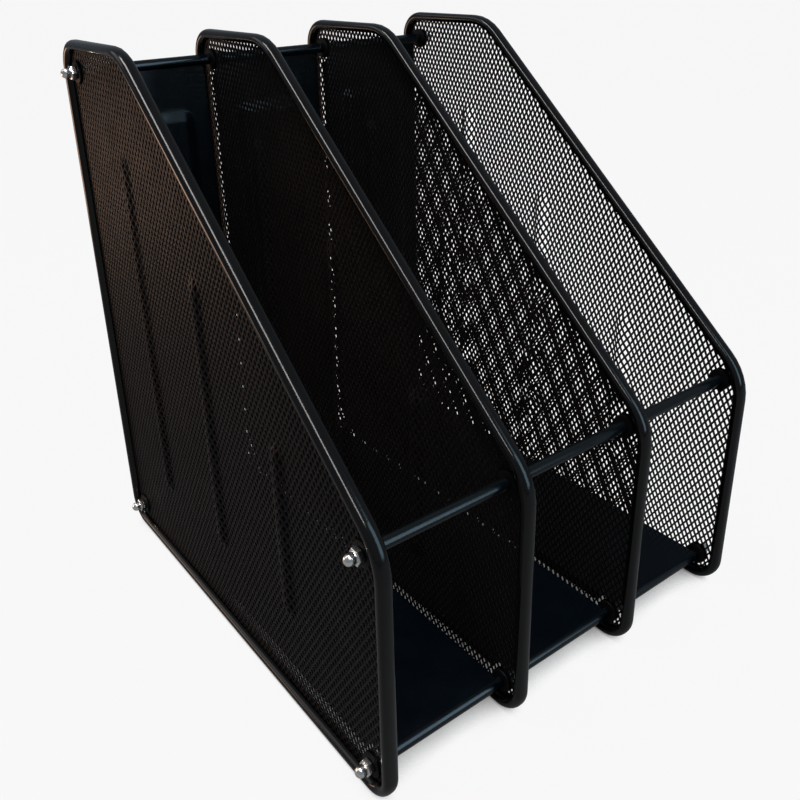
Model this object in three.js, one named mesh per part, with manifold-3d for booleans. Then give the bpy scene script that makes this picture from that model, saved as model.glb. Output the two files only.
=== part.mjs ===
// A three-bay magazine file: mesh side panels in formed rims, sheet trays and tie rods.
// Everything is drawn in the side view, with u from front to back, v up and w across.
// The last group turns that view so that +Z is up and the front faces -Y. Millimetres.
import * as THREE from 'three';
import { mergeVertices } from 'three/addons/utils/BufferGeometryUtils.js';
import Module from 'manifold-3d';

const wasm = await Module();
wasm.setup();

// Overall sizes of a side panel, over its rim
const panelDepth = 282;
const panelHeight = 305;
const topLength = 79.7;
const frontHeight = 133;
const bayCount = 3;
const bayPitch = 78;
const clearance = 0.3;

// The rim: a channel folded round the edge of the mesh
const rimWidth = 7.6;
const rimThickness = 5.4;
const rimWall = 0.8;
const rimFlat = 2.8;
const squareCornerRadius = 13;
const slopeCornerRadius = 30;
const rimStep = THREE.MathUtils.degToRad(18);

// The mesh sheet, its cells and its three pressed beads
const meshThickness = 0.8;
const meshEngagement = 2;
const meshBorder = 1.8;
const meshStep = THREE.MathUtils.degToRad(45);
const cellWidth = 36;
const cellHeight = 58;
const strandWidth = 7.8;
const beadCount = 3;
const firstBead = 77.5;
const beadSpacing = 68.6;
const beadWidth = 13.5;
const beadHeight = 2.2;
const beadSlope = 2.2;
const beadFoot = 47.5;
const beadHeadGap = 52;
const beadMargin = 1.2;

// Tie rods with their washers, cap nuts and spacer tubes
const rodRadius = 2;
const rodInset = 12;
const lowerRodHeight = 11.5;
const topRodDrop = 14;
const frontRodInset = 12.3;
const washerRadius = 6;
const washerThickness = 1;
const nutAcrossFlats = 7;
const nutHexHeight = 3.2;
const nutHeight = 9;
const nutDomeRadius = 3.25;
const nutBoreDepth = 5.3;
const rodEndGap = 0.5;
const spacerRadius = 3;

// The trays: floor and back bent from one sheet, rolled round two of the rods
const sheet = 0.7;
const bendRadius = 4;
const flangeDepth = 5.5;
const flangeNotch = 9;
const backRollAngle = 250;
const frontRollAngle = 215;
const embossMargin = 10;
const embossTopGap = 31;
const embossFootGap = 32;
const embossRadius = 6;
const embossHeight = 2;
const embossSlope = 4.5;

// The outline of a side panel along the rim's centreline, from the front foot round the back
const depth = panelDepth - rimThickness;
const height = panelHeight - rimThickness;
const slopeRun = depth - topLength + rimThickness / 2;
const frontEdge = frontHeight - rimThickness / 2;
const slopeGradient = (height - frontEdge) / slopeRun;
const slopeStretch = Math.hypot(1, slopeGradient);
const corners = [
  { u: 0, v: 0, radius: squareCornerRadius },
  { u: depth, v: 0, radius: squareCornerRadius },
  { u: depth, v: height, radius: squareCornerRadius },
  { u: slopeRun, v: height, radius: slopeCornerRadius },
  { u: 0, v: frontEdge, radius: slopeCornerRadius },
];
const edgeAbove = (u) => Math.min(height, frontEdge + slopeGradient * u);

// Points of that outline moved outwards by an offset, alike in number for every offset
function outline(offset, step) {
  const points = [];
  corners.forEach((corner, index) => {
    const at = new THREE.Vector2(corner.u, corner.v);
    const before = corners.at(index - 1);
    const after = corners[(index + 1) % corners.length];
    const way = at.clone().sub(new THREE.Vector2(before.u, before.v)).normalize();
    const next = new THREE.Vector2(after.u, after.v).sub(at).normalize();
    const turn = Math.acos(way.dot(next));
    const centre = at.clone().addScaledVector(way, -corner.radius * Math.tan(turn / 2));
    centre.add(new THREE.Vector2(-way.y, way.x).multiplyScalar(corner.radius));
    const start = Math.atan2(-way.x, way.y);
    const steps = Math.max(2, Math.round(turn / step));
    for (let i = 0; i <= steps; i++) {
      const angle = start + (turn * i) / steps;
      const reach = corner.radius + offset;
      points.push(new THREE.Vector2(
        centre.x + reach * Math.cos(angle),
        centre.y + reach * Math.sin(angle),
      ));
    }
  });
  return points;
}

// A surface through a series of loops with as many points each. Closed, it runs back to the
// first loop; open, its two ends are capped.
function loft(loops, closed) {
  const count = loops[0].length;
  const positions = loops.flat().flatMap((point) => [point.x, point.y, point.z]);
  const index = [];
  const bands = closed ? loops.length : loops.length - 1;
  for (let band = 0; band < bands; band++) {
    const here = band * count;
    const there = ((band + 1) % loops.length) * count;
    for (let i = 0; i < count; i++) {
      const j = (i + 1) % count;
      index.push(here + i, here + j, there + j, here + i, there + j, there + i);
    }
  }
  if (!closed) {
    const last = (loops.length - 1) * count;
    const face = loops[0].map((point) => new THREE.Vector2(point.x, point.y));
    for (const [a, b, c] of THREE.ShapeUtils.triangulateShape(face, [])) {
      index.push(a, c, b, last + a, last + b, last + c);
    }
  }
  const geometry = new THREE.BufferGeometry();
  geometry.setAttribute('position', new THREE.Float32BufferAttribute(positions, 3));
  geometry.setIndex(index);
  return geometry;
}

// Solids for cutting and joining, and their way back to a geometry
function solid(geometry) {
  const bare = new THREE.BufferGeometry();
  bare.setAttribute('position', geometry.getAttribute('position').clone());
  if (geometry.index) bare.setIndex(geometry.index.clone());
  const merged = mergeVertices(bare, 1e-4);
  return new wasm.Manifold(new wasm.Mesh({
    numProp: 3,
    vertProperties: new Float32Array(merged.attributes.position.array),
    triVerts: new Uint32Array(merged.index.array),
  }));
}

function geometryOf(manifold) {
  const mesh = manifold.getMesh();
  const geometry = new THREE.BufferGeometry();
  geometry.setAttribute('position', new THREE.Float32BufferAttribute(mesh.vertProperties, 3));
  geometry.setIndex(Array.from(mesh.triVerts));
  return geometry;
}

// Profiles: a plate, a circle, a ring, a disc and a slot with round ends
const plate = (shapes, thickness, w = -thickness / 2) => new THREE.ExtrudeGeometry(
  shapes,
  { depth: thickness, bevelEnabled: false, curveSegments: 12 },
).translate(0, 0, w);

function circle(radius, sides, u = 0, v = 0, from = 0, sweep = 2 * Math.PI) {
  const count = sweep < 2 * Math.PI ? sides + 1 : sides;
  return Array.from({ length: count }, (_, i) => {
    const angle = from + (sweep * i) / sides;
    return new THREE.Vector2(u + radius * Math.cos(angle), v + radius * Math.sin(angle));
  });
}

// A hole's corners lie outside its radius, so that its flats clear what passes through
const bore = (radius, sides, u = 0, v = 0) => circle(radius / Math.cos(Math.PI / sides), sides, u, v);

function ring(outer, outerSides, inner, innerSides, u = 0, v = 0) {
  const shape = new THREE.Shape(circle(outer, outerSides, u, v));
  shape.holes.push(new THREE.Path(bore(inner, innerSides, u, v)));
  return shape;
}

function slot(halfWidth, u, foot, head) {
  const sides = 3;
  return [
    ...circle(halfWidth, sides, u, head - halfWidth, 0, Math.PI),
    ...circle(halfWidth, sides, u, foot + halfWidth, Math.PI, Math.PI),
  ];
}

const at = (points, w) => points.map((point) => new THREE.Vector3(point.x, point.y, w));

// Where the four rods cross the side view
const lineGap = frontRodInset * slopeStretch;
const rods = {
  top_back: { u: depth - rodInset, v: height - topRodDrop },
  bottom_back: { u: depth - rodInset, v: lowerRodHeight },
  bottom_front: { u: rodInset, v: lowerRodHeight },
  upper_front: { u: frontRodInset, v: edgeAbove(frontRodInset) - lineGap },
};
const rodHole = rodRadius + clearance;
const washerSeat = meshThickness / 2 + clearance;
const nutSeat = washerSeat + washerThickness + clearance;

// The rim's section, as pairs of w and offset: round the outside from one lip to the other,
// and back round the inside
const lip = meshThickness / 2 + clearance;
const halfRim = rimWidth / 2;
const outerEdge = rimThickness / 2;
const shoulder = outerEdge * 0.64;
const side = [
  [lip, -outerEdge],
  [halfRim * 0.82, -shoulder],
  [halfRim, 0],
  [halfRim * 0.84, shoulder],
  [rimFlat / 2, outerEdge],
];
const hollow = [
  [rimFlat / 2 - rimWall / 2, outerEdge - rimWall],
  [halfRim - rimWall, 0],
  [lip, -outerEdge + rimWall],
];
const mirrored = (points) => points.map(([w, offset]) => [-w, offset]).reverse();
const section = [...side, ...mirrored(side), ...mirrored(hollow), ...hollow].reverse();
const rimGeometry = loft(section.map(([w, offset]) => at(outline(offset, rimStep), w)), true);

// The mesh: a sheet with diamond cells, whole along its edge, its beads and round its rods
const sheetEdge = -outerEdge + meshEngagement;
const cellReach = Math.hypot(cellWidth, cellHeight);
const cellOpening = 1 - (strandWidth * cellReach) / (cellWidth * cellHeight);
const cells = [];
const columns = Math.ceil(depth / cellWidth) + 1;
const rows = Math.ceil((2 * height) / cellHeight) + 1;
for (let row = 0; row < rows; row++) {
  for (let column = -1; column < columns; column++) {
    const u = firstBead % cellWidth + (column + (row % 2) / 2) * cellWidth;
    const v = (row * cellHeight) / 2;
    cells.push(new THREE.Shape([
      new THREE.Vector2(u + (cellWidth / 2) * cellOpening, v),
      new THREE.Vector2(u, v + (cellHeight / 2) * cellOpening),
      new THREE.Vector2(u - (cellWidth / 2) * cellOpening, v),
      new THREE.Vector2(u, v - (cellHeight / 2) * cellOpening),
    ]));
  }
}

const through = 4 * (beadHeight + meshThickness);
const inside = new THREE.Shape(outline(sheetEdge - meshBorder, meshStep));
let open = solid(plate(cells, through)).intersect(solid(plate(inside, 2 * through)));
for (const rod of Object.values(rods)) {
  const pad = new THREE.Shape(circle(washerRadius + clearance, 6, rod.u, rod.v));
  open = open.subtract(solid(plate(pad, 2 * through)));
}

let meshSolid = solid(plate(new THREE.Shape(outline(sheetEdge, meshStep)), meshThickness));
const crown = meshThickness / 2 + beadHeight;
for (let bead = 0; bead < beadCount; bead++) {
  const u = firstBead + bead * beadSpacing;
  const head = edgeAbove(u) - beadHeadGap;
  const shape = (inset) => slot(beadWidth / 2 - inset, u, beadFoot + inset, head - inset);
  const raised = loft([
    at(shape(beadSlope), -crown),
    at(shape(0), -meshThickness / 2),
    at(shape(0), meshThickness / 2),
  ], false);
  const pressed = loft([
    at(shape(beadSlope + meshThickness), meshThickness - crown),
    at(shape(meshThickness), meshThickness / 2),
    at(shape(meshThickness), meshThickness),
  ], false);
  const whole = new THREE.Shape(shape(-beadMargin));
  open = open.subtract(solid(plate(whole, 2 * through)));
  meshSolid = meshSolid.add(solid(raised)).subtract(solid(pressed));
}
meshSolid = meshSolid.subtract(open);
for (const rod of Object.values(rods)) {
  const hole = new THREE.Shape(bore(rodHole, 6, rod.u, rod.v));
  meshSolid = meshSolid.subtract(solid(plate(hole, 2 * through)));
}
const meshGeometry = geometryOf(meshSolid);

// A tray between two panels: its floor lies on the lower rods and its back behind the top one
const rollInner = rodHole;
const rollOuter = rollInner + sheet;
const halfBody = bayPitch / 2 - halfRim - clearance;
const halfRoll = bayPitch / 2 - nutSeat;
const floorUnder = rods.bottom_front.v + rollInner;
const floorTop = floorUnder + sheet;
const backFront = rods.top_back.u + rollInner;
const backRear = backFront + sheet;
const bendCentre = { u: backFront - bendRadius, v: floorTop + bendRadius };
const trayProfile = new THREE.Shape([
  new THREE.Vector2(rods.bottom_front.u, floorUnder),
  ...circle(bendRadius + sheet, 4, bendCentre.u, bendCentre.v, -Math.PI / 2, Math.PI / 2),
  new THREE.Vector2(backRear, rods.top_back.v),
  new THREE.Vector2(backFront, rods.top_back.v),
  ...circle(bendRadius, 4, bendCentre.u, bendCentre.v, -Math.PI / 2, Math.PI / 2).reverse(),
  new THREE.Vector2(rods.bottom_front.u, floorTop),
]);

// A rolled edge: the sheet carried on round a rod through an angle
function roll(rod, from, sweep) {
  const sides = Math.round(Math.abs(sweep) / 30);
  const start = THREE.MathUtils.degToRad(from);
  const turn = THREE.MathUtils.degToRad(sweep);
  const reach = Math.cos(turn / sides / 2);
  const outerArc = circle(rollOuter, sides, rod.u, rod.v, start, turn);
  const innerArc = circle(rollInner / reach, sides, rod.u, rod.v, start, turn).reverse();
  const shape = new THREE.Shape([...outerArc, ...innerArc]);
  return solid(plate(shape, 2 * halfRoll));
}

// Side flanges, turned down under the floor and backwards behind the back
const flangeFront = rods.bottom_front.u + rollOuter + flangeNotch / 2;
const flangeRear = rods.bottom_back.u - flangeNotch;
const floorFlange = new THREE.Shape([
  new THREE.Vector2(flangeFront, floorTop - sheet / 2),
  new THREE.Vector2(flangeFront + flangeDepth / 2, floorTop - flangeDepth),
  new THREE.Vector2(flangeRear - flangeDepth / 2, floorTop - flangeDepth),
  new THREE.Vector2(flangeRear, floorTop - sheet / 2),
]);
const flangeFoot = floorTop + flangeNotch;
const flangeHead = rods.top_back.v - rollOuter - flangeNotch / 2;
const backFlange = new THREE.Shape([
  new THREE.Vector2(backFront + sheet / 2, flangeFoot),
  new THREE.Vector2(backFront + flangeDepth, flangeFoot + flangeDepth / 2),
  new THREE.Vector2(backFront + flangeDepth, flangeHead - flangeDepth / 2),
  new THREE.Vector2(backFront + sheet / 2, flangeHead),
]);

// The raised rectangle pressed into the back, facing the bay
function panelLoop(inset, reach) {
  const half = halfBody - embossMargin - inset;
  const foot = floorTop + embossFootGap + inset;
  const head = rods.top_back.v + rollOuter - embossTopGap - inset;
  const radius = embossRadius - inset / 2;
  return [
    ...circle(radius, 3, half - radius, head - radius, 0, Math.PI / 2),
    ...circle(radius, 3, radius - half, head - radius, Math.PI / 2, Math.PI / 2),
    ...circle(radius, 3, radius - half, foot + radius, Math.PI, Math.PI / 2),
    ...circle(radius, 3, half - radius, foot + radius, 1.5 * Math.PI, Math.PI / 2),
  ].map((point) => new THREE.Vector3(point.x, point.y, reach));
}
const embossed = loft([
  panelLoop(0, 0),
  panelLoop(0, sheet),
  panelLoop(embossSlope, sheet + embossHeight),
], false).rotateY(-Math.PI / 2).translate(backRear, 0, 0);
const dishInset = sheet / 2;
const dished = loft([
  panelLoop(dishInset, -sheet),
  panelLoop(dishInset, 0),
  panelLoop(embossSlope + dishInset, embossHeight),
], false).rotateY(-Math.PI / 2).translate(backRear, 0, 0);

let traySolid = solid(plate(trayProfile, 2 * halfBody))
  .add(roll(rods.top_back, 0, backRollAngle))
  .add(roll(rods.bottom_front, 90, frontRollAngle))
  .add(solid(embossed))
  .subtract(solid(dished));
for (const w of [-halfBody, halfBody - sheet]) {
  traySolid = traySolid.add(solid(plate([floorFlange, backFlange], sheet, w)));
}
const trayGeometry = geometryOf(traySolid);

// Small hardware, along w from the seat
const washerGeometry = plate(ring(washerRadius, 10, rodHole, 6), washerThickness, 0);
const spacerGeometry = plate(ring(spacerRadius, 12, rodHole, 8), 2 * halfRoll);
const rodReach = nutSeat + nutBoreDepth - rodEndGap;
const rodLength = bayCount * bayPitch + 2 * rodReach;
const rodGeometry = new THREE.CylinderGeometry(rodRadius, rodRadius, rodLength, 8).rotateX(Math.PI / 2);
const hexRadius = nutAcrossFlats / Math.sqrt(3);
const hexGeometry = new THREE.CylinderGeometry(hexRadius, hexRadius, nutHexHeight, 6)
  .rotateX(Math.PI / 2)
  .translate(0, 0, nutHexHeight / 2);
const domeProfile = [
  new THREE.Vector2(0, nutHexHeight / 2),
  new THREE.Vector2(nutDomeRadius, nutHexHeight / 2),
  ...circle(nutDomeRadius, 3, 0, nutHeight - nutDomeRadius, 0, Math.PI / 2).slice(0, -1),
  new THREE.Vector2(0, nutHeight),
];
const domeGeometry = new THREE.LatheGeometry(domeProfile, 8).rotateX(Math.PI / 2);
const nutBore = plate(new THREE.Shape(bore(rodHole, 8)), 2 * nutBoreDepth);
const nutGeometry = geometryOf(solid(hexGeometry).add(solid(domeGeometry)).subtract(solid(nutBore)));

// Finishes
const finish = (color, roughness, metalness) => (
  () => new THREE.MeshStandardMaterial({ color, roughness, metalness })
);
const rimFinish = finish(0x1a1716, 0.42, 0.3);
const meshFinish = finish(0x191615, 0.5, 0.3);
const trayFinish = finish(0x1b2023, 0.38, 0.3);
const steelFinish = finish(0x6d7074, 0.3, 1);
const washerFinish = finish(0x121212, 0.5, 0.3);
const chromeFinish = finish(0xd9dadd, 0.12, 1);

const sideView = new THREE.Group();
function piece(name, geometry, material, u, v, w) {
  const mesh = new THREE.Mesh(geometry, material());
  mesh.name = name;
  mesh.position.set(u, v, w);
  sideView.add(mesh);
  return mesh;
}

// Side panels with the washers on both their faces
for (let panel = 0; panel <= bayCount; panel++) {
  const w = panel * bayPitch;
  piece(`side_panel_rim_${panel + 1}`, rimGeometry, rimFinish, 0, 0, w);
  piece(`side_panel_mesh_${panel + 1}`, meshGeometry, meshFinish, 0, 0, w);
  for (const [place, { u, v }] of Object.entries(rods)) {
    const name = `washer_${panel + 1}_${place}`;
    piece(`${name}_left`, washerGeometry, washerFinish, u, v, w - washerSeat - washerThickness);
    piece(`${name}_right`, washerGeometry, washerFinish, u, v, w + washerSeat);
  }
}

// A tray and a spacer tube in each bay
for (let bay = 0; bay < bayCount; bay++) {
  const w = (bay + 0.5) * bayPitch;
  piece(`tray_${bay + 1}`, trayGeometry, trayFinish, 0, 0, w);
  const { u, v } = rods.upper_front;
  piece(`spacer_tube_${bay + 1}`, spacerGeometry, washerFinish, u, v, w);
}

// Four tie rods through all the panels, with a cap nut on each end
for (const [place, { u, v }] of Object.entries(rods)) {
  piece(`tie_rod_${place}`, rodGeometry, steelFinish, u, v, (bayCount * bayPitch) / 2);
  const left = piece(`cap_nut_${place}_left`, nutGeometry, chromeFinish, u, v, -nutSeat);
  left.rotation.x = Math.PI;
  piece(`cap_nut_${place}_right`, nutGeometry, chromeFinish, u, v, bayCount * bayPitch + nutSeat);
}

// From the side view to the part's frame: u to +Y, v to +Z and w to +X
sideView.quaternion.setFromAxisAngle(new THREE.Vector3(1, 1, 1).normalize(), (2 * Math.PI) / 3);
sideView.position.set((-bayCount * bayPitch) / 2, -depth / 2, rimThickness / 2);
const magazineFile = new THREE.Group();
magazineFile.add(sideView);

export default magazineFile;
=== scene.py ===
# %% [markdown]
# # A three-bay magazine file
# The object is four side panels of expanded metal in formed rims, three bent sheet trays
# between them, and four tie rods with bright cap nuts that hold it all together. Nothing on
# the real object moves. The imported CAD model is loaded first. It has every piece in its true
# place, with few faces, and stays as it is. Each cell after that makes one kind of piece or
# one finish with the fine surface that the real one has.

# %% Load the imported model
import math

import bmesh
import bpy
from mathutils import Matrix, Vector


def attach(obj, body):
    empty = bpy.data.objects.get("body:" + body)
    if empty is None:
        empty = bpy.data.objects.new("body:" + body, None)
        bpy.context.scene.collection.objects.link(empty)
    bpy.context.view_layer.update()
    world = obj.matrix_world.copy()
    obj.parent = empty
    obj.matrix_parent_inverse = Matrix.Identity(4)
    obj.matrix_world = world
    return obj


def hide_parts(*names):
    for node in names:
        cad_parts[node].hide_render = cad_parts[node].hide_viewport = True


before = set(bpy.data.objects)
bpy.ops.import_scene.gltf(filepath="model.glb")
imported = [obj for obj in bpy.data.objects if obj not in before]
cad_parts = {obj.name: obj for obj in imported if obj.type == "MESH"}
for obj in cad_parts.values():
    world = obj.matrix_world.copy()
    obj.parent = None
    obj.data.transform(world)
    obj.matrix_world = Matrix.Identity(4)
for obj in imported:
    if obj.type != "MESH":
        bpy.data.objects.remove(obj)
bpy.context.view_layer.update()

# %% [markdown]
# ## The side view
# Every piece of this object is easiest to describe from the side: u runs from front to back,
# v goes up and w goes across, all in millimetres. One small function turns such a place into
# metres in the model's frame, so the sizes below can be the ones a workshop drawing has. The
# panel's outline has five corners: four of a square sheet, with the upper front one cut off by
# a slope, so that the titles of the magazines show.

# %% Sizes and places
MM = 0.001
PANEL_DEPTH, PANEL_HEIGHT = 276.6, 299.6
RIM_WIDTH, RIM_THICKNESS = 7.6, 5.4
BAYS, BAY_PITCH = 3, 78.0
SLOPE_RUN, FRONT_EDGE = 199.6, 130.3
SQUARE_RADIUS, SLOPE_RADIUS = 13.0, 30.0
CORNERS = [
    (0.0, 0.0, SQUARE_RADIUS),
    (PANEL_DEPTH, 0.0, SQUARE_RADIUS),
    (PANEL_DEPTH, PANEL_HEIGHT, SQUARE_RADIUS),
    (SLOPE_RUN, PANEL_HEIGHT, SLOPE_RADIUS),
    (0.0, FRONT_EDGE, SLOPE_RADIUS),
]
SLOPE = (PANEL_HEIGHT - FRONT_EDGE) / SLOPE_RUN
ROD_INSET = 12.3
PANELS = [BAY_PITCH * panel for panel in range(BAYS + 1)]
BAY_MIDDLES = [BAY_PITCH * (bay + 0.5) for bay in range(BAYS)]


def place(u, v, w=0.0):
    """A point of the side view, in metres in the model's frame."""
    return Vector((w - BAYS * BAY_PITCH / 2, u - PANEL_DEPTH / 2, v + RIM_THICKNESS / 2)) * MM


def side_place(co):
    """The u and v of a point in the model's frame."""
    return co.y / MM + PANEL_DEPTH / 2, co.z / MM - RIM_THICKNESS / 2


def side_vector(u, v, w=0.0):
    """A direction or a shift of the side view, in metres."""
    return Vector((w, u, v)) * MM


def edge_above(u):
    """The height of the rim's centreline over a place on the floor."""
    return min(PANEL_HEIGHT, FRONT_EDGE + SLOPE * u)


UPPER_FRONT_V = edge_above(ROD_INSET) - ROD_INSET * math.hypot(1, SLOPE)
RODS = {
    "top_back": (PANEL_DEPTH - 12.0, PANEL_HEIGHT - 14.0),
    "bottom_back": (PANEL_DEPTH - 12.0, 11.5),
    "bottom_front": (12.0, 11.5),
    "upper_front": (ROD_INSET, UPPER_FRONT_V),
}
print("rods", {name: [round(value, 2) for value in rod] for name, rod in RODS.items()})

# %% [markdown]
# ## From a bmesh to a piece
# A bmesh is Blender's editable mesh. Each piece is shaped in one, with its corners already in
# their final place, and then written to an object that stays at the origin. The object is told
# which body it moves with and which finish it has, and the CAD node it stands for is hidden.
# Sheet metal is mostly an edge drawn out into a surface, so that step has a function of its own
# too.

# %% Turn a bmesh into a piece
WELD = 0.02 * MM
SAME = 0.01 * MM


def piece(name, bm, material, slot, node, sharp=35):
    """A finished piece that replaces a CAD node, shaded smooth up to an angle in degrees."""
    mesh = bpy.data.meshes.new(name)
    bm.to_mesh(mesh)
    mesh.shade_smooth()
    mesh.set_sharp_from_angle(angle=math.radians(sharp))
    mesh.materials.append(material)
    item = bpy.data.objects.new(name, mesh)
    bpy.context.scene.collection.objects.link(item)
    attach(item, "root")
    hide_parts(node)
    return item


def shifted(bm, w):
    """A copy of a bmesh, moved across the object."""
    copy = bm.copy()
    bmesh.ops.translate(copy, verts=copy.verts, vec=side_vector(0, 0, w))
    return copy


def drawn_out(bm, edges, shift):
    """Draws edges out by a shift and returns the edges and corners at the far end."""
    new = bmesh.ops.extrude_edge_only(bm, edges=edges)["geom"]
    corners = [part for part in new if isinstance(part, bmesh.types.BMVert)]
    bmesh.ops.translate(bm, verts=corners, vec=shift)
    far = [part for part in new if isinstance(part, bmesh.types.BMEdge)
           and all(end in corners for end in part.verts)]
    return far, corners


print("helpers", [made.__name__ for made in (piece, shifted, drawn_out)])

# %% [markdown]
# ## Shared effects
# Powder coat is a dry paint that melts into a skin with a faint orange peel. Two small node
# groups give it: one puts out a bump from fine noise, the other a value that wanders a little,
# for tint and gloss. Groups hand on only values and normals. The shader itself stays in each
# material, where the export can read it.

# %% Node groups for the surfaces
PEEL_HEIGHT = 0.2 * MM


def new_group(name, inputs, output, kind):
    """A node group with number inputs and one output, and the nodes at its two ends."""
    group = bpy.data.node_groups.new(name, "ShaderNodeTree")
    for label, value in inputs.items():
        socket = group.interface.new_socket(label, in_out="INPUT", socket_type="NodeSocketFloat")
        socket.default_value = value
    group.interface.new_socket(output, in_out="OUTPUT", socket_type=kind)
    return group, group.nodes.new("NodeGroupInput"), group.nodes.new("NodeGroupOutput")


def noise_in(group, scale, detail):
    """Noise over the object's own coordinates, with its scale from a socket."""
    where = group.nodes.new("ShaderNodeTexCoord")
    noise = group.nodes.new("ShaderNodeTexNoise")
    noise.inputs["Detail"].default_value = detail
    group.links.new(where.outputs["Object"], noise.inputs["Vector"])
    group.links.new(scale, noise.inputs["Scale"])
    return noise.outputs["Fac"]


def orange_peel():
    """A bump of fine noise: Grain is its scale, Depth its strength."""
    group, given, result = new_group(
        "orange_peel", {"Grain": 900.0, "Depth": 0.2}, "Normal", "NodeSocketVector")
    links = group.links
    bump = group.nodes.new("ShaderNodeBump")
    bump.inputs["Distance"].default_value = PEEL_HEIGHT
    links.new(noise_in(group, given.outputs["Grain"], 2.0), bump.inputs["Height"])
    links.new(given.outputs["Depth"], bump.inputs["Strength"])
    links.new(bump.outputs["Normal"], result.inputs["Normal"])
    return group


def wander():
    """A value that drifts between Low and High over the surface."""
    group, given, result = new_group(
        "wander", {"Scale": 30.0, "Low": 0.3, "High": 0.4}, "Value", "NodeSocketFloat")
    links = group.links
    spread = group.nodes.new("ShaderNodeMapRange")
    spread.inputs["From Min"].default_value = 0.35
    spread.inputs["From Max"].default_value = 0.65
    links.new(noise_in(group, given.outputs["Scale"], 3.0), spread.inputs["Value"])
    links.new(given.outputs["Low"], spread.inputs["To Min"])
    links.new(given.outputs["High"], spread.inputs["To Max"])
    links.new(spread.outputs["Result"], result.inputs["Value"])
    return group


PEEL = orange_peel()
WANDER = wander()
print("groups", PEEL.name, WANDER.name)

# %% [markdown]
# ## Finishes
# All the sheet metal has the same satin black powder coat, which is sprayed on as dust and
# baked. Its colour is tinted warm on the mesh of the side panels and cool teal on the trays and
# spacer tubes: these tints are painted light, standing in for the warm lamp at the back left and
# the cool window at the front right. The mesh is rougher than the smooth rims. The nuts are
# bright plated steel, and the washers are blackened. One function makes every finish: two close
# colours and two close values of roughness that drift over the surface, because no real coat is
# quite even.

# %% Make the materials
def drifting(nodes, scale, low, high):
    """The output of a value that drifts between two ends over the surface."""
    drift = nodes.new("ShaderNodeGroup")
    drift.node_tree = WANDER
    drift.inputs["Scale"].default_value = scale
    drift.inputs["Low"].default_value = low
    drift.inputs["High"].default_value = high
    return drift.outputs["Value"]


def tone(nodes, links, shader, dark, light, scale):
    """Colour that drifts between two close tones."""
    mix = nodes.new("ShaderNodeMix")
    mix.data_type = "RGBA"
    mix.inputs["A"].default_value = (*dark, 1)
    mix.inputs["B"].default_value = (*light, 1)
    links.new(drifting(nodes, scale, 0.0, 1.0), mix.inputs["Factor"])
    links.new(mix.outputs["Result"], shader.inputs["Base Color"])


def skin(nodes, links, shader, grain, depth):
    """The paint's orange peel."""
    peel = nodes.new("ShaderNodeGroup")
    peel.node_tree = PEEL
    peel.inputs["Grain"].default_value = grain
    peel.inputs["Depth"].default_value = depth
    links.new(peel.outputs["Normal"], shader.inputs["Normal"])


def material(name, dark, light, low, high, metallic=0.0, grain=1400.0, depth=0.25,
             scale=35.0, specular=0.15):
    """A finish between two tones and two values of roughness, with a skin of orange peel."""
    made = bpy.data.materials.new(name)
    made.use_nodes = True
    nodes, links = made.node_tree.nodes, made.node_tree.links
    shader = nodes["Principled BSDF"]
    shader.inputs["Metallic"].default_value = metallic
    shader.inputs["Specular IOR Level"].default_value = specular
    tone(nodes, links, shader, dark, light, scale)
    links.new(drifting(nodes, scale * 2, low, high), shader.inputs["Roughness"])
    skin(nodes, links, shader, grain, depth)
    return made


RIM_PAINT = material("rim_coat", (0.0020, 0.0018, 0.0017), (0.0028, 0.0025, 0.0023),
                     0.12, 0.17, depth=0.08, specular=0.3)
# Warm tint: painted warm light from the back left, on a black coat.
MESH_PAINT_WARM_LIGHT = material("mesh_coat_painted_warm_light", (0.0066, 0.0052, 0.0048), (0.0088, 0.0070, 0.0064),
                      0.34, 0.42, specular=0.07)
# Teal tint: painted cool light from the window at the front right, on a black coat.
TRAY_PAINT_COOL_LIGHT = material("tray_coat_painted_cool_light", (0.0002, 0.0017, 0.0032), (0.0004, 0.0022, 0.0040),
                      0.18, 0.24, depth=0.12, specular=0.4)
# Blue tint: painted cool light from the window at the front right, on a black coat.
SPACER_PAINT_COOL_LIGHT = material("spacer_coat_painted_cool_light", (0.0020, 0.0034, 0.0042), (0.0028, 0.0045, 0.0054),
                        0.16, 0.22, depth=0.12, specular=0.32)
WASHER_BLACK = material("black_steel", (0.003, 0.003, 0.003), (0.005, 0.005, 0.005),
                        0.4, 0.5, specular=0.08)
ROD_STEEL = material("zinc_plating", (0.42, 0.42, 0.43), (0.52, 0.52, 0.52),
                     0.25, 0.35, metallic=1.0)
NUT_CHROME = material("bright_plating", (0.76, 0.74, 0.71), (0.82, 0.80, 0.77),
                      0.18, 0.26, metallic=1.0, grain=600.0, depth=0.05)
print("materials", [made.name for made in bpy.data.materials])

# %% [markdown]
# ## The formed rims
# The rim is the frame of a side panel: it stiffens the thin mesh and covers its cut edge. The
# real one is a strip folded round the mesh's edge into an oval channel, then bent round the
# five corners. A curve with a bevel would be quicker, but it can't keep an even spacing of
# faces in the bends. So the workshop's own steps make it here: the section is a loop of edges,
# a straight run draws it out, and a corner spins it round the bend's centre. The last ring
# closes on the first.

# %% Sweep the rim round its corners
SLIT = 0.7
GROOVE = 2.2
SECTION_POINTS = 22
SIDE_POWER, EDGE_POWER = 0.9, 0.8
BEND_STEP = math.radians(9)


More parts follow.
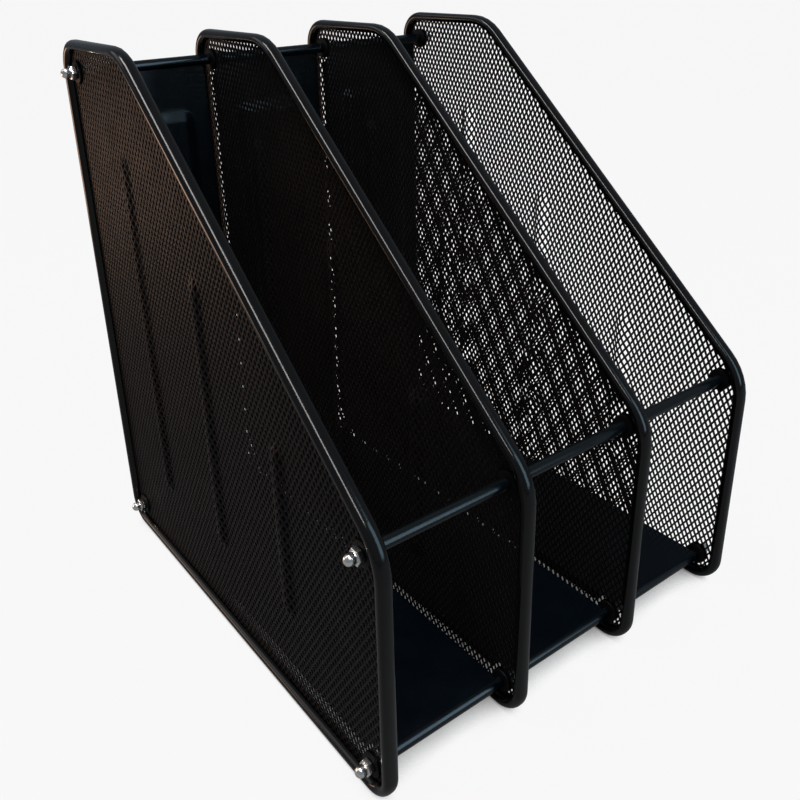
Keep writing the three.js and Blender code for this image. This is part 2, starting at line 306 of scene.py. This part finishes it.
def rim_section():
    """The section as pairs of w and outward offset, from lip to lip and round the slit."""
    start = math.asin(SLIT / (RIM_WIDTH / 2))
    points = []
    for i in range(SECTION_POINTS + 1):
        angle = start + (2 * math.pi - 2 * start) * i / SECTION_POINTS
        w, offset = math.sin(angle), -math.cos(angle)
        points.append((
            RIM_WIDTH / 2 * math.copysign(abs(w) ** SIDE_POWER, w),
            RIM_THICKNESS / 2 * math.copysign(abs(offset) ** EDGE_POWER, offset),
        ))
    slit_end = -RIM_THICKNESS / 2 + GROOVE
    return points + [(-SLIT, slit_end), (SLIT, slit_end)]


def bends():
    """For each corner: its bend's start, centre and turn, the way to it, and its radius."""
    found = []
    for i, (u, v, radius) in enumerate(CORNERS):
        at = Vector((u, v))
        way = (at - Vector(CORNERS[i - 1][:2])).normalized()
        onward = (Vector(CORNERS[(i + 1) % len(CORNERS)][:2]) - at).normalized()
        turn = way.angle(onward)
        start = at - way * radius * math.tan(turn / 2)
        centre = start + Vector((-way.y, way.x)) * radius
        found.append((start, centre, turn, way, radius))
    return found


BENDS = bends()


def sweep_rim():
    """The whole rim, swept from the first corner round the panel and back to it."""
    bm = bmesh.new()
    first_start, _, _, way, _ = BENDS[0]
    outward = Vector((way.y, -way.x))
    ring = []
    for w, offset in rim_section():
        spot = first_start + outward * offset
        ring.append(bm.verts.new(place(spot.x, spot.y, w)))
    loop = [bm.edges.new((ring[i - 1], ring[i])) for i in range(len(ring))]
    for i, (start, centre, turn, _, _) in enumerate(BENDS):
        spun = bmesh.ops.spin(
            bm, geom=loop, cent=place(*centre), axis=(1, 0, 0), dvec=(0, 0, 0),
            angle=turn, steps=round(turn / BEND_STEP), space=Matrix.Identity(4),
            use_merge=False, use_normal_flip=False, use_duplicate=False,
        )
        loop = [part for part in spun["geom_last"] if isinstance(part, bmesh.types.BMEdge)]
        after_start = BENDS[(i + 1) % len(BENDS)][0]
        away = Matrix.Rotation(turn, 2) @ (start - centre)
        run = after_start - (centre + away)
        loop, _ = drawn_out(bm, loop, side_vector(run.x, run.y))
    bmesh.ops.remove_doubles(bm, verts=bm.verts, dist=WELD)
    bmesh.ops.recalc_face_normals(bm, faces=bm.faces)
    return bm


rim = sweep_rim()
print("rim faces", len(rim.faces), "open edges", sum(edge.is_boundary for edge in rim.edges))
for number, w in enumerate(PANELS, 1):
    piece(f"formed_rim_{number}", shifted(rim, w), RIM_PAINT, "rim_paint",
          f"side_panel_rim_{number}")

# %% [markdown]
# ## The expanded metal
# The wall of a side panel is expanded metal: slit and stretched sheet, so it has no crossings.
# Its strands run from bond to bond round diamond openings, and each is twisted a little out of
# the sheet. A see-through pattern on a flat sheet would look right only straight on, so every
# opening is real here. A square grid turned by 45 degrees and stretched has the same net. It
# is cut to the panel's outline, every diamond is inset by half a strand and its middle taken
# out, and the inner corners are pushed off the sheet, one side forwards and one back, which
# twists the strands. The beads are the long ribs that are pressed in to stiffen the wall.

# %% Make one panel's net
NET_CELLS = 138
CELL_DEPTH, CELL_HEIGHT = 3.54, 5.9
NET_TURN = 1.6
STRAND = 1.04
TWIST = 0.12
SHEET_EDGE = -0.7
MESH_THICKNESS = 0.5
BEADS = [77.5, 146.1, 214.7]
BEAD_WIDTH, BEAD_HEIGHT = 13.5, 2.0
BEAD_FOOT, BEAD_HEAD_GAP = 47.5, 52.0
BEAD_CREST = 0.15
SMALLEST_CELL = 3.0
ROD_CLEARANCE = 4.3


def outline(offset, step):
    """Points of the panel's outline, moved outwards."""
    points = []
    for start, centre, turn, way, radius in BENDS:
        arm = (start - centre) * (radius + offset) / radius
        count = max(2, round(turn / step))
        points += [centre + Matrix.Rotation(turn * i / count, 2) @ arm for i in range(count + 1)]
    return points


def bead_lift(u, v):
    """How far the sheet is pressed out at a place: 0 off the beads, 1 along their crests."""
    lift = 0.0
    half = BEAD_WIDTH / 2
    for middle in BEADS:
        foot = BEAD_FOOT + half
        head = edge_above(middle) - BEAD_HEAD_GAP - half
        reach = math.hypot(u - middle, v - min(max(v, foot), head)) / half
        if reach < 1:
            down = max(0.0, reach - BEAD_CREST) / (1 - BEAD_CREST)
            lift = max(lift, 0.5 + 0.5 * math.cos(math.pi * down))
    return lift


def expanded_net():
    """A flat net of whole diamonds, cut to the panel's outline."""
    bm = bmesh.new()
    turned = Matrix.Rotation(math.radians(45), 4, "Z")
    askew = Matrix.Rotation(math.radians(NET_TURN), 4, "Z")
    stretch = Matrix.Diagonal((CELL_DEPTH / math.sqrt(2), CELL_HEIGHT / math.sqrt(2), 1, 1))
    bmesh.ops.create_grid(bm, x_segments=NET_CELLS, y_segments=NET_CELLS, size=NET_CELLS / 2,
                          matrix=askew @ stretch @ turned)
    for vert in bm.verts:
        vert.co = place(vert.co.x + PANEL_DEPTH / 2, vert.co.y + PANEL_HEIGHT / 2)
    edge = outline(SHEET_EDGE, math.radians(30))
    for i, here in enumerate(edge):
        along = edge[(i + 1) % len(edge)] - here
        if along.length > 0.01:
            bmesh.ops.bisect_plane(
                bm, geom=bm.verts[:] + bm.edges[:] + bm.faces[:], dist=0.0001 * MM,
                plane_co=place(*here), plane_no=side_vector(along.y, -along.x),
                clear_outer=True, clear_inner=False,
            )
    return bm


def open_cells(bm):
    """Insets every cell that is large enough, twists its strands and opens it."""
    bm.normal_update()
    whole = [face for face in bm.faces if face.calc_area() > SMALLEST_CELL * MM * MM]
    bmesh.ops.inset_individual(bm, faces=whole, thickness=STRAND / 2 * MM, depth=0,
                               use_even_offset=True, use_interpolate=False,
                               use_relative_offset=False)
    for face in whole:
        middle = face.calc_center_median().y
        for vert in face.verts:
            vert.co.x += TWIST * (vert.co.y - middle) / (CELL_DEPTH / 2 - STRAND / 2)
    bmesh.ops.delete(bm, geom=whole, context="FACES_ONLY")


def clear_rods(bm):
    """Takes the strands away round the rods, where the washers cover the gap."""
    rods = [place(*rod) for rod in RODS.values()]
    spare = [face for face in bm.faces
             if min((face.calc_center_median() - rod).yz.length for rod in rods)
             < ROD_CLEARANCE * MM]
    bmesh.ops.delete(bm, geom=spare, context="FACES")


net = expanded_net()
print("cells", len(net.faces))
open_cells(net)
clear_rods(net)
for vert in net.verts:
    vert.co.x -= BEAD_HEIGHT * MM * bead_lift(*side_place(vert.co))
print("net faces", len(net.faces))

# %% [markdown]
# ## Four sheets of net
# The net was shaped as a sheet without thickness, because one flat layer is quick to cut and
# bend. A solidify modifier gives every strand its gauge, half of it to each side. The beads of
# all four panels are pressed to the same side, as the shadows in the photograph show.

# %% Place the four nets
for number, w in enumerate(PANELS, 1):
    sheet = piece(f"expanded_mesh_{number}", shifted(net, w), MESH_PAINT_WARM_LIGHT, "mesh_paint",
                  f"side_panel_mesh_{number}", 60)
    thick = sheet.modifiers.new("thickness", "SOLIDIFY")
    thick.thickness = MESH_THICKNESS * MM
    thick.offset = 0
    thick.use_rim = True
print("nets at", PANELS)

# %% [markdown]
# ## The trays
# A tray carries the magazines of one bay. It is one steel sheet: its floor lies on the lower
# rods, its back stands behind the top rod, and both free edges are rolled round a rod, which
# hides the cut edge and ties the sheet to the frame. A box with its faces bent would need every
# roll as an extra piece. So the profile is drawn as one chain of edges, with the rolls and the
# bend as arcs, and drawn out across the bay. A raised field is pressed into the back, which
# keeps it from drumming: its sloping sides are flat, so rows and columns lie close together
# only where the sheet bends.

# %% Shape one tray
SHEET = 0.7
ROLL_RADIUS = 2.65
HALF_BODY, HALF_ROLL = 34.9, 37.0
BEND_RADIUS = 4.35
FLANGE_DEPTH = 5.2
EMBOSS_HALF, EMBOSS_FOOT, EMBOSS_HEAD = 24.9, 46.5, 257.6
EMBOSS_RADIUS, EMBOSS_HEIGHT, EMBOSS_SLOPE = 6.0, 2.0, 5.0
EMBOSS_BEND = 0.45
ROW, COLUMN = 2.2, 1.5
FRONT_ROLL, BACK_BEND, TOP_ROLL = (305, -215, 22), (-90, 90, 8), (0, 250, 24)
FLOOR_START, FLOOR_STEP = 20, 12
ROLL_MARGIN = 1.2
FLOOR_V = RODS["bottom_front"][1] + ROLL_RADIUS
BACK_U = RODS["top_back"][0] + ROLL_RADIUS


def arc(centre, radius, start, sweep, steps):
    """Points of an arc in the side view, without its first. Its angles are in degrees."""
    angles = [math.radians(start + sweep * i / steps) for i in range(1, steps + 1)]
    return [(centre[0] + radius * math.cos(a), centre[1] + radius * math.sin(a))
            for a in angles]


def stations(start, end, step, marks):
    """Even places between two ends, with a close pair for the bend at every mark."""
    even = [start + step * i for i in range(1, math.ceil((end - start) / step))]
    kept = [here for here in even
            if min(abs(here - mark) for mark in marks) > 2 * EMBOSS_BEND]
    bent = [mark + shift for mark in marks for shift in (-EMBOSS_BEND, EMBOSS_BEND)]
    return sorted(kept + bent)


def tray_profile():
    """The sheet's middle line, from the hidden end of the front roll to that of the top roll."""
    front = arc(RODS["bottom_front"], ROLL_RADIUS, *FRONT_ROLL)
    bend = arc((BACK_U - BEND_RADIUS, FLOOR_V + BEND_RADIUS), BEND_RADIUS, *BACK_BEND)
    floor_end = int(BACK_U - BEND_RADIUS)
    floor_run = [(u, FLOOR_V) for u in range(FLOOR_START, floor_end, FLOOR_STEP)]
    marks = [EMBOSS_FOOT, EMBOSS_FOOT + EMBOSS_SLOPE, EMBOSS_HEAD - EMBOSS_SLOPE, EMBOSS_HEAD]
    back_run = [(BACK_U, v)
                for v in stations(FLOOR_V + BEND_RADIUS, RODS["top_back"][1], ROW, marks)]
    top = arc(RODS["top_back"], ROLL_RADIUS, *TOP_ROLL)
    return front + floor_run + bend + back_run + [(BACK_U, RODS["top_back"][1])] + top


def emboss_lift(w, v):
    """How far the back is pressed forwards: 1 on the raised field, sloping to 0 round it."""
    across = max(0.0, abs(w) - (EMBOSS_HALF - EMBOSS_RADIUS))
    middle = (EMBOSS_FOOT + EMBOSS_HEAD) / 2
    along = max(0.0, abs(v - middle) - ((EMBOSS_HEAD - EMBOSS_FOOT) / 2 - EMBOSS_RADIUS))
    inside = EMBOSS_RADIUS - math.hypot(across, along)
    return min(1.0, max(0.0, inside / EMBOSS_SLOPE))


def tray_sheet():
    """The flat body and the rolls, drawn out column by column across the bay."""
    bm = bmesh.new()
    points = [bm.verts.new(place(u, v, -HALF_ROLL)) for u, v in tray_profile()]
    chain = [bm.edges.new(pair) for pair in zip(points, points[1:])]
    marks = [side * across for side in (-1, 1)
             for across in (EMBOSS_HALF, EMBOSS_HALF - EMBOSS_SLOPE)]
    body = stations(-HALF_BODY, HALF_BODY, COLUMN, marks)
    columns = [-HALF_ROLL, -HALF_BODY, *body, HALF_BODY, HALF_ROLL]
    for here, there in zip(columns, columns[1:]):
        chain, _ = drawn_out(bm, chain, side_vector(0, 0, there - here))
    return bm


def trim_body(bm):
    """Takes the sheet's last strips away between the rolls, so that the body clears the rims."""
    rolls = [place(*RODS[name]) for name in ("bottom_front", "top_back")]
    spare = []
    for face in bm.faces:
        middle = face.calc_center_median()
        to_roll = min((middle - roll).yz.length for roll in rolls)
        outside = abs(middle.x - rolls[0].x) > HALF_BODY * MM
        if outside and to_roll >= (ROLL_RADIUS + ROLL_MARGIN) * MM:
            spare.append(face)
    bmesh.ops.delete(bm, geom=spare, context="FACES")


tray = tray_sheet()
trim_body(tray)
back_plane = place(BACK_U, 0)
for vert in tray.verts:
    if abs(vert.co.y - back_plane.y) < SAME:
        _, v = side_place(vert.co)
        vert.co.y -= EMBOSS_HEIGHT * MM * emboss_lift((vert.co.x - back_plane.x) / MM, v)
print("tray faces", len(tray.faces))

# %% [markdown]
# ## Flanges and thickness
# Both long edges of the floor and of the back are turned away from the bay. They stiffen the
# sheet and keep its cut edge out of reach of hands and paper. Each is the body's edge drawn
# out once at a right angle, with its ends slanted to leave the rods free. The sheet has no
# thickness until then, because a single layer folds without gaps. A solidify modifier gives
# it its gauge, and a small bevel breaks the edges, as a real press does.

# %% Fold the flanges and place the trays
FLANGES = {"floor": (19.5, 255.6), "back": (23.5, 278.1)}
EDGE_BREAK = 0.15


def fold(bm, kind, start, end):
    """Draws the body's edges between two places along the sheet out into flanges."""
    on_floor = kind == "floor"
    along, away = ("y", side_vector(0, -1)) if on_floor else ("z", side_vector(1, 0))
    for side in (-1, 1):
        corner = place(BACK_U, FLOOR_V, side * HALF_BODY)
        picked = []
        for edge in bm.edges:
            a, b = (vert.co for vert in edge.verts)
            if max(abs(a.x - corner.x), abs(b.x - corner.x)) > SAME or not edge.is_boundary:
                continue
            if on_floor:
                flat = max(abs(a.z - corner.z), abs(b.z - corner.z)) < SAME
            else:
                flat = max(abs(a.y - corner.y), abs(b.y - corner.y)) < SAME
            middle = side_place((a + b) / 2)[0 if on_floor else 1]
            if flat and start < middle < end:
                picked.append(edge)
        _, corners = drawn_out(bm, picked, away * FLANGE_DEPTH)
        places = [getattr(vert.co, along) for vert in corners]
        for vert, here in zip(corners, places):
            if here == min(places):
                setattr(vert.co, along, here + FLANGE_DEPTH / 2 * MM)
            if here == max(places):
                setattr(vert.co, along, here - FLANGE_DEPTH / 2 * MM)


for kind, (start, end) in FLANGES.items():
    fold(tray, kind, start, end)
bmesh.ops.remove_doubles(tray, verts=tray.verts, dist=SAME)
bmesh.ops.recalc_face_normals(tray, faces=tray.faces)
for number, w in enumerate(BAY_MIDDLES, 1):
    item = piece(f"bent_tray_{number}", shifted(tray, w), TRAY_PAINT_COOL_LIGHT, "tray_paint",
                 f"tray_{number}", 40)
    gauge = item.modifiers.new("gauge", "SOLIDIFY")
    gauge.thickness = SHEET * MM
    gauge.offset = 0
    soften = item.modifiers.new("soften", "BEVEL")
    soften.width = EDGE_BREAK * MM
    soften.segments = 2
    soften.limit_method = "ANGLE"
    soften.angle_limit = math.radians(60)
print("folded tray faces", len(tray.faces))

# %% [markdown]
# ## Tools for turned parts
# The rods, tubes, washers and nuts are all round, and a cylinder with bevelled edges would do
# for some of them. A profile spun round its own axis, as a lathe makes them, does for all, with
# every chamfer where the turner would put it. A cap nut is a hexagon bar with its corners
# turned off, which carries on into a dome that covers the rod's sharp end.

# %% A lathe and a cap nut
ROD_RADIUS, SPACER_RADIUS, ROD_HOLE = 2.0, 3.0, 2.3
WASHER_RADIUS, WASHER_THICKNESS, WASHER_SEAT = 6.0, 1.0, 0.7
NUT_FLATS, NUT_HEX, NUT_HEIGHT, NUT_DOME, NUT_SEAT = 7.0, 3.0, 7.7, 2.7, 2.0
NUT_CHAMFER, DOME_OVERLAP = 0.45, 0.6
DOME_STEP, DOME_STEPS = math.radians(7.5), 12
POLE_WELD = 0.001 * MM


def lathe(profile, sides, closed=False):
    """Spins pairs of w and radius round the w axis of the side view."""
    bm = bmesh.new()
    points = [bm.verts.new(side_vector(radius, 0, w)) for w, radius in profile]
    chain = [bm.edges.new(pair) for pair in zip(points, points[1:])]
    if closed:
        chain.append(bm.edges.new((points[-1], points[0])))
    bmesh.ops.spin(
        bm, geom=points + chain, cent=(0, 0, 0), axis=(1, 0, 0), dvec=(0, 0, 0),
        angle=2 * math.pi, steps=sides, space=Matrix.Identity(4),
        use_merge=True, use_normal_flip=False, use_duplicate=False,
    )
    bmesh.ops.remove_doubles(bm, verts=bm.verts, dist=POLE_WELD)
    bmesh.ops.recalc_face_normals(bm, faces=bm.faces)
    return bm


def cap_nut():
    """A hexagon with chamfered corners under a dome, from its seat along w."""
    corner = NUT_FLATS / math.sqrt(3)
    bm = bmesh.new()
    middle = Matrix.Translation(side_vector(0, 0, NUT_HEX / 2))
    bmesh.ops.create_cone(
        bm, cap_ends=True, segments=6, radius1=corner * MM, radius2=corner * MM,
        depth=NUT_HEX * MM, matrix=middle @ Matrix.Rotation(math.pi / 2, 4, "Y"),
    )
    rims = [edge for edge in bm.edges
            if abs(edge.verts[0].co.x - edge.verts[1].co.x) < SAME]
    bmesh.ops.bevel(bm, geom=rims, offset=NUT_CHAMFER * MM, segments=3, profile=0.5,
                    affect="EDGES", material=-1)
    dome = [(NUT_HEX - DOME_OVERLAP, 0.0), (NUT_HEX - DOME_OVERLAP, NUT_DOME)]
    dome += [(NUT_HEIGHT - NUT_DOME + NUT_DOME * math.sin(a), NUT_DOME * math.cos(a))
             for a in [DOME_STEP * i for i in range(DOME_STEPS + 1)]]
    cap = lathe(dome, 32)
    cap_mesh = bpy.data.meshes.new("cap")
    cap.to_mesh(cap_mesh)
    bm.from_mesh(cap_mesh)
    bpy.data.meshes.remove(cap_mesh)
    return bm


def mirrored(bm):
    """A copy that faces the other way across the object."""
    copy = bm.copy()
    bmesh.ops.scale(copy, verts=copy.verts, vec=(-1, 1, 1))
    bmesh.ops.reverse_faces(copy, faces=copy.faces)
    return copy


def put(name, bm, at, material, slot, node, sharp=35):
    """A small part at a place on a rod."""
    copy = bm.copy()
    bmesh.ops.translate(copy, verts=copy.verts, vec=at)
    return piece(name, copy, material, slot, node, sharp)


nut = cap_nut()
print("nut faces", len(nut.faces))

# %% [markdown]
# ## Rods and nuts
# Four steel rods run through all the panels and take the whole load, because the trays rest and
# pull on them. The picture doesn't show their threads, and a helix on them would cost more
# faces than a whole tray, so plain bars with chamfered ends stand for them. A cap nut closes
# each end, outside the panels.

# %% Place the rods and the cap nuts
ROD_REACH, ROD_CHAMFER = 4.8, 0.4
last = PANELS[-1]
for name, (u, v) in RODS.items():
    put(f"cap_nut_{name}_left_chrome", mirrored(nut), place(u, v, -NUT_SEAT), NUT_CHROME,
        "nut_chrome", f"cap_nut_{name}_left", 25)
    put(f"cap_nut_{name}_right_chrome", nut, place(u, v, last + NUT_SEAT), NUT_CHROME,
        "nut_chrome", f"cap_nut_{name}_right", 25)
    half = last / 2 + NUT_SEAT + ROD_REACH
    rod = lathe([(-half, 0), (-half, ROD_RADIUS - ROD_CHAMFER),
                 (ROD_CHAMFER - half, ROD_RADIUS), (half - ROD_CHAMFER, ROD_RADIUS),
                 (half, ROD_RADIUS - ROD_CHAMFER), (half, 0)], 24)
    put(f"threaded_rod_{name}", rod, place(u, v, last / 2), ROD_STEEL, "rod_steel",
        f"tie_rod_{name}")
print("rod length", 2 * half)

# %% [markdown]
# ## Washers and spacer tubes
# A washer lies on each face of each panel at every rod, so that the nuts and tubes press on
# solid steel instead of on the strands. It is stamped from sheet, which rounds its edge on one
# side. At the front there is no tray to hold the panels apart, so a cut tube sits on the upper
# rod in each bay. One of each is turned and copied to all its places.

# %% Place the washers and the spacers
WASHER_PROFILE = [
    (0, ROD_HOLE), (0, WASHER_RADIUS), (0.7, WASHER_RADIUS), (0.9, WASHER_RADIUS - 0.1),
    (WASHER_THICKNESS, WASHER_RADIUS - 0.3), (WASHER_THICKNESS, ROD_HOLE),
]
TUBE_CHAMFER = 0.2
washer = lathe(WASHER_PROFILE, 40, True)
for number, w in enumerate(PANELS, 1):
    for name, (u, v) in RODS.items():
        put(f"flat_washer_{number}_{name}_right", washer, place(u, v, w + WASHER_SEAT),
            WASHER_BLACK, "black_washer", f"washer_{number}_{name}_right")
        put(f"flat_washer_{number}_{name}_left", mirrored(washer), place(u, v, w - WASHER_SEAT),
            WASHER_BLACK, "black_washer", f"washer_{number}_{name}_left")
tube = lathe([(-HALF_ROLL, ROD_HOLE), (-HALF_ROLL, SPACER_RADIUS - TUBE_CHAMFER),
              (TUBE_CHAMFER - HALF_ROLL, SPACER_RADIUS),
              (HALF_ROLL - TUBE_CHAMFER, SPACER_RADIUS),
              (HALF_ROLL, SPACER_RADIUS - TUBE_CHAMFER), (HALF_ROLL, ROD_HOLE)], 32, True)
for number, w in enumerate(BAY_MIDDLES, 1):
    put(f"round_spacer_{number}", tube, place(*RODS["upper_front"], w), SPACER_PAINT_COOL_LIGHT,
        "spacer_paint", f"spacer_tube_{number}")
print("washer faces", len(washer.faces), "tube faces", len(tube.faces))

# %% [markdown]
# ## Floor and backdrop
# The photograph is taken on white. A pale floor reaches past the picture's edges. A real white
# floor would throw light up into the black object, so what the camera sees of it is mostly a
# white glow, and only a little of that glow goes into reflections. The glow fades where the
# object closes the floor in, so that the contact shadow under the panels and trays stays. The
# world behind is white for the camera in the same way, and a faint blue sky for everything else.

# %% Lay the floor and set the backdrop
GLOW_IN_REFLECTIONS = 0.07
FLOOR_GLOW, WORLD_GLOW = 0.92, 0.94
FLOOR_SHADE = 0.22
SHADOW_REACH = 0.05
CLOSED, OPEN = 0.02, 0.5
SKY_COLOUR, SKY_STRENGTH = (0.66, 0.82, 1.0, 1), 0.2
WHITE = (1, 1, 1, 1)


def white_share(nodes, links):
    """The share of white in what a ray meets: all for the camera, a little for reflections."""
    path = nodes.new("ShaderNodeLightPath")
    share = nodes.new("ShaderNodeMath")
    share.operation = "MULTIPLY_ADD"
    share.inputs[1].default_value = GLOW_IN_REFLECTIONS
    links.new(path.outputs["Is Glossy Ray"], share.inputs[0])
    links.new(path.outputs["Is Camera Ray"], share.inputs[2])
    return share.outputs["Value"]


def pale_floor():
    """A matt grey floor under a white glow, which fades near the object's feet."""
    made = bpy.data.materials.new("pale_floor")
    made.use_nodes = True
    nodes, links = made.node_tree.nodes, made.node_tree.links
    shader = nodes["Principled BSDF"]
    shader.inputs["Base Color"].default_value = (FLOOR_SHADE, FLOOR_SHADE, FLOOR_SHADE, 1)
    shader.inputs["Roughness"].default_value = 0.9
    glow = nodes.new("ShaderNodeEmission")
    glow.inputs["Color"].default_value = WHITE
    openness = nodes.new("ShaderNodeAmbientOcclusion")
    openness.inputs["Distance"].default_value = SHADOW_REACH
    openness.samples = 8
    spread = nodes.new("ShaderNodeMapRange")
    spread.inputs["From Min"].default_value = CLOSED
    spread.inputs["From Max"].default_value = OPEN
    links.new(openness.outputs["AO"], spread.inputs["Value"])
    open_glow = nodes.new("ShaderNodeMath")
    open_glow.operation = "MULTIPLY"
    links.new(white_share(nodes, links), open_glow.inputs[0])
    links.new(spread.outputs["Result"], open_glow.inputs[1])
    seen = nodes.new("ShaderNodeMath")
    seen.operation = "MULTIPLY"
    seen.inputs[1].default_value = FLOOR_GLOW
    links.new(open_glow.outputs["Value"], seen.inputs[0])
    mix = nodes.new("ShaderNodeMixShader")
    links.new(seen.outputs["Value"], mix.inputs["Fac"])
    links.new(shader.outputs["BSDF"], mix.inputs[1])
    links.new(glow.outputs["Emission"], mix.inputs[2])
    links.new(mix.outputs["Shader"], nodes["Material Output"].inputs["Surface"])
    return made


bm = bmesh.new()
bmesh.ops.create_grid(bm, x_segments=1, y_segments=1, size=20)
floor_mesh = bpy.data.meshes.new("floor")
bm.to_mesh(floor_mesh)
floor_mesh.materials.append(pale_floor())
floor = bpy.data.objects.new("floor", floor_mesh)
bpy.context.scene.collection.objects.link(floor)

world = bpy.data.worlds.new("studio")
bpy.context.scene.world = world
world.use_nodes = True
nodes, links = world.node_tree.nodes, world.node_tree.links
soft = nodes["Background"]
soft.inputs["Color"].default_value = SKY_COLOUR
soft.inputs["Strength"].default_value = SKY_STRENGTH
white = nodes.new("ShaderNodeBackground")
white.inputs["Color"].default_value = WHITE
white.inputs["Strength"].default_value = WORLD_GLOW
mix = nodes.new("ShaderNodeMixShader")
links.new(white_share(nodes, links), mix.inputs["Fac"])
links.new(soft.outputs["Background"], mix.inputs[1])
links.new(white.outputs["Background"], mix.inputs[2])
links.new(mix.outputs["Shader"], nodes["World Output"].inputs["Surface"])
print("floor and world", floor.name, world.name)

# %% [markdown]
# ## The lamps
# Glossy black shows its lights more than its colour, so each lamp is placed for a line that the
# photograph shows. A long strip high above the left side draws the bright line down the sloping
# rims. A small warm light low at the back left warms the left panel. A tall cool window at the
# front right gives the lines along the spacer tubes and the pressed fields. Wide, faint daylight
# fills the rest.

# %% Hang the lamps
AIM = Vector((0, 0, 0.15))
SUNWARDS = Vector((-0.5, 0.6, 0.65))


def soft_box(name, at, width, height, power, colour):
    """A rectangular lamp that faces a point in the middle of the object."""
    lamp = bpy.data.lights.new(name, "AREA")
    lamp.shape = "RECTANGLE"
    lamp.size = width
    lamp.size_y = height
    lamp.energy = power
    lamp.color = colour
    item = bpy.data.objects.new(name, lamp)
    item.location = at
    item.rotation_euler = (AIM - Vector(at)).to_track_quat("-Z", "Y").to_euler()
    bpy.context.scene.collection.objects.link(item)
    return item


overhead = soft_box("strip_light", (-0.28, -0.25, 1.3), 0.2, 1.5, 15, (1.0, 0.96, 0.94))
overhead.rotation_euler = (0, 0, 0)
soft_box("warm_box", (-0.6, 0.62, 0.12), 0.5, 0.2, 1.5, (1.0, 0.62, 0.42))
soft_box("cool_box", (0.6, -1.3, 0.78), 0.5, 1.3, 7.8, (0.52, 0.80, 1.0))
daylight = bpy.data.lights.new("daylight", "SUN")
daylight.angle = math.radians(35)
daylight.energy = 0.3
sky = bpy.data.objects.new("daylight", daylight)
sky.rotation_euler = SUNWARDS.to_track_quat("Z", "Y").to_euler()
bpy.context.scene.collection.objects.link(sky)

# %% [markdown]
# ## The camera
# The camera stands where the photograph was taken: its place, its turn and its lens come from
# fitting the outlines of the side panels to the picture. The shift of the lens stands for the
# picture's crop: the point that the camera faces isn't in the middle of it.

# %% Place the camera
PHOTO_SIZE = 800
FOCAL_PIXELS = 870.389
FACED_X, FACED_Y = 378.893, 319.395
CAMERA_AT = place(-217.595, 339.680, -155.252)
CAMERA_RIGHT = Vector((0.80368, -0.59437, -0.02865))
CAMERA_DOWN = Vector((-0.25201, -0.29635, -0.92123))
CAMERA_AHEAD = Vector((0.53906, 0.74760, -0.38796))
lens = bpy.data.cameras.new("camera")
lens.sensor_width = 36.0
lens.lens = lens.sensor_width * FOCAL_PIXELS / PHOTO_SIZE
lens.shift_x = (PHOTO_SIZE / 2 - FACED_X) / PHOTO_SIZE
lens.shift_y = (FACED_Y - PHOTO_SIZE / 2) / PHOTO_SIZE
lens.clip_start = 0.01
camera = bpy.data.objects.new("camera", lens)
turn = Matrix((CAMERA_RIGHT, -CAMERA_DOWN, -CAMERA_AHEAD)).transposed().to_4x4()
camera.matrix_world = Matrix.Translation(CAMERA_AT) @ turn
bpy.context.scene.collection.objects.link(camera)
bpy.context.scene.camera = camera
print("camera at", [round(value, 3) for value in CAMERA_AT], "lens", round(lens.lens, 1))

# %% [markdown]
# ## The view transform
# The standard view keeps a colour as it was written, without a film curve.

# %% Set the view transform
bpy.context.scene.view_settings.view_transform = "Standard"
bpy.context.view_layer.update()
